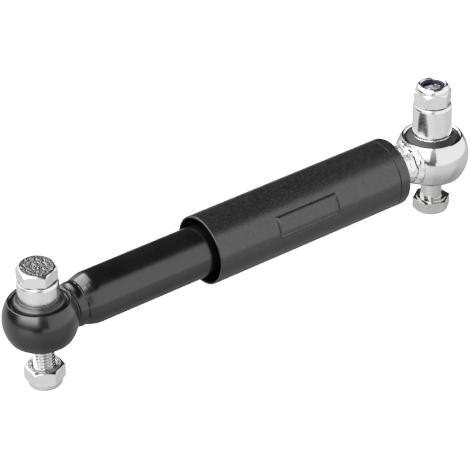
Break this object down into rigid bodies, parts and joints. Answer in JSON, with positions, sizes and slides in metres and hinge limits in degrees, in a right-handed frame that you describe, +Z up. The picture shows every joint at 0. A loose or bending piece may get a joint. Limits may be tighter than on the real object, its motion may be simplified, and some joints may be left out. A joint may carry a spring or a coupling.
{
  "type": "shock absorber",
  "caption": "Telescopic twin-tube shock absorber with a plastic dust cover and a rubber bush eye, spacer sleeve, bolt and self-locking nut at each end.",
  "frame": {"origin": "centre of the lower ring face of the lower bush sleeve, where the axle bracket is clamped", "axes": "+X along the stroke towards the plated upper eye, +Z up along the bolts, away from the bracket"},
  "size_m": [0.3049, 0.0416, 0.086],
  "materials": {
    "black_paint": "gloss black paint",
    "cover_plastic": "satin dark grey moulded plastic",
    "plated": "bright plating",
    "zinc": "bright zinc",
    "nylon": "dark blue nylon",
    "rubber": "black rubber",
    "steel": "bright steel",
    "sintered": "sintered iron",
    "bronze": "bronze bearing",
    "slide_plastic": "bronze-filled sliding plastic"
  },
  "bodies": {
    "damper_body": {"reservoir_tube": "black_paint", "lower_eye_ring": "black_paint", "lower_eye_neck": "black_paint", "lower_weld_bead": "black_paint", "pressure_tube": "steel", "base_valve_body": "sintered", "base_valve_bolt": "steel", "base_valve_shims": "steel", "rod_guide": "sintered", "rod_guide_bush": "bronze", "guide_o_ring": "rubber", "rod_seal": "rubber", "seal_garter_spring": "steel", "seal_retainer": "steel"},
    "base_check_valve": {"base_check_plate": "steel", "base_check_spring": "steel"},
    "piston_ring": {"piston_band": "slide_plastic"},
    "rod_assembly": {"piston_rod": "plated", "piston": "sintered", "rebound_shims": "steel", "piston_nut": "steel", "check_stop_washer": "steel", "rebound_stop": "slide_plastic", "bump_stop": "rubber", "dust_cover": "cover_plastic", "cover_end_cap": "cover_plastic", "cover_retaining_washer": "steel", "upper_eye_ring": "plated", "upper_eye_neck": "plated", "upper_weld_bead": "plated"},
    "piston_check_valve": {"piston_check_plate": "steel", "piston_check_spring": "steel"},
    "lower_bush": {"lower_bush_rubber": "rubber"},
    "lower_spacer": {"lower_sleeve": "zinc"},
    "lower_fastener": {"lower_bolt": "zinc"},
    "lower_lock_ring": {"lower_nut_insert": "nylon"},
    "lower_lock_nut": {"lower_nut": "zinc"},
    "upper_bush": {"upper_bush_rubber": "rubber"},
    "upper_spacer": {"upper_sleeve": "zinc"},
    "upper_fastener": {"upper_bolt": "zinc"},
    "upper_lock_ring": {"upper_nut_insert": "nylon"},
    "upper_lock_nut": {"upper_nut": "zinc"}
  },
  "joints": [
    {"name": "rod_stroke", "type": "slide", "parent": "damper_body", "child": "piston_ring", "axis": [1, 0, 0], "range_m": [-0.045, 0.033]},
    {"name": "rod_spin", "type": "hinge", "parent": "piston_ring", "child": "rod_assembly", "pos_m": [0, 0, 0.0143], "axis": [1, 0, 0], "continuous": true},
    {"name": "piston_check_lift", "type": "slide", "parent": "rod_assembly", "child": "piston_check_valve", "axis": [1, 0, 0], "range_m": [0, 0.0007], "stiffness_N_per_m": 400, "springref_m": -0.0005, "deforming": ["piston_check_spring"]},
    {"name": "base_check_lift", "type": "slide", "parent": "damper_body", "child": "base_check_valve", "axis": [1, 0, 0], "range_m": [0, 0.001], "stiffness_N_per_m": 300, "springref_m": -0.0005, "deforming": ["base_check_spring"]},
    {"name": "lower_bush_pitch", "type": "hinge", "parent": "damper_body", "child": "lower_bush", "pos_m": [0, 0, 0.0143], "axis": [0, 1, 0], "range_deg": [-4, 4], "stiffness_Nm_per_rad": 60},
    {"name": "lower_bush_twist", "type": "hinge", "parent": "lower_bush", "child": "lower_spacer", "pos_m": [0, 0, 0.0143], "axis": [0, 0, 1], "range_deg": [-20, 20], "stiffness_Nm_per_rad": 20},
    {"name": "lower_bolt_spin", "type": "hinge", "parent": "lower_spacer", "child": "lower_fastener", "pos_m": [0, 0, 0.0143], "axis": [0, 0, 1], "continuous": true},
    {"name": "lower_nut_travel", "type": "slide", "parent": "lower_fastener", "child": "lower_lock_ring", "axis": [0, 0, 1], "range_m": [-0.014, 0.014]},
    {"name": "lower_nut_spin", "type": "hinge", "parent": "lower_lock_ring", "child": "lower_lock_nut", "pos_m": [0, 0, 0.0143], "axis": [0, 0, 1], "range_deg": [-2882, 2882]},
    {"name": "upper_bush_pitch", "type": "hinge", "parent": "rod_assembly", "child": "upper_bush", "pos_m": [0.264, 0, 0.0143], "axis": [0, 1, 0], "range_deg": [-4, 4], "stiffness_Nm_per_rad": 60},
    {"name": "upper_bush_twist", "type": "hinge", "parent": "upper_bush", "child": "upper_spacer", "pos_m": [0.264, 0, 0.0143], "axis": [0, 0, 1], "range_deg": [-20, 20], "stiffness_Nm_per_rad": 20},
    {"name": "upper_bolt_spin", "type": "hinge", "parent": "upper_spacer", "child": "upper_fastener", "pos_m": [0.264, 0, 0.0143], "axis": [0, 0, 1], "continuous": true},
    {"name": "upper_nut_travel", "type": "slide", "parent": "upper_fastener", "child": "upper_lock_ring", "axis": [0, 0, 1], "range_m": [0, 0.01225]},
    {"name": "upper_nut_spin", "type": "hinge", "parent": "upper_lock_ring", "child": "upper_lock_nut", "pos_m": [0.264, 0, 0.0143], "axis": [0, 0, 1], "range_deg": [-2, 2522]}
  ],
  "couplings": [
    {"joint": "lower_nut_spin", "follows": "lower_nut_travel", "rad_per_m": 3590.4},
    {"joint": "upper_nut_spin", "follows": "upper_nut_travel", "rad_per_m": 3590.4}
  ]
}
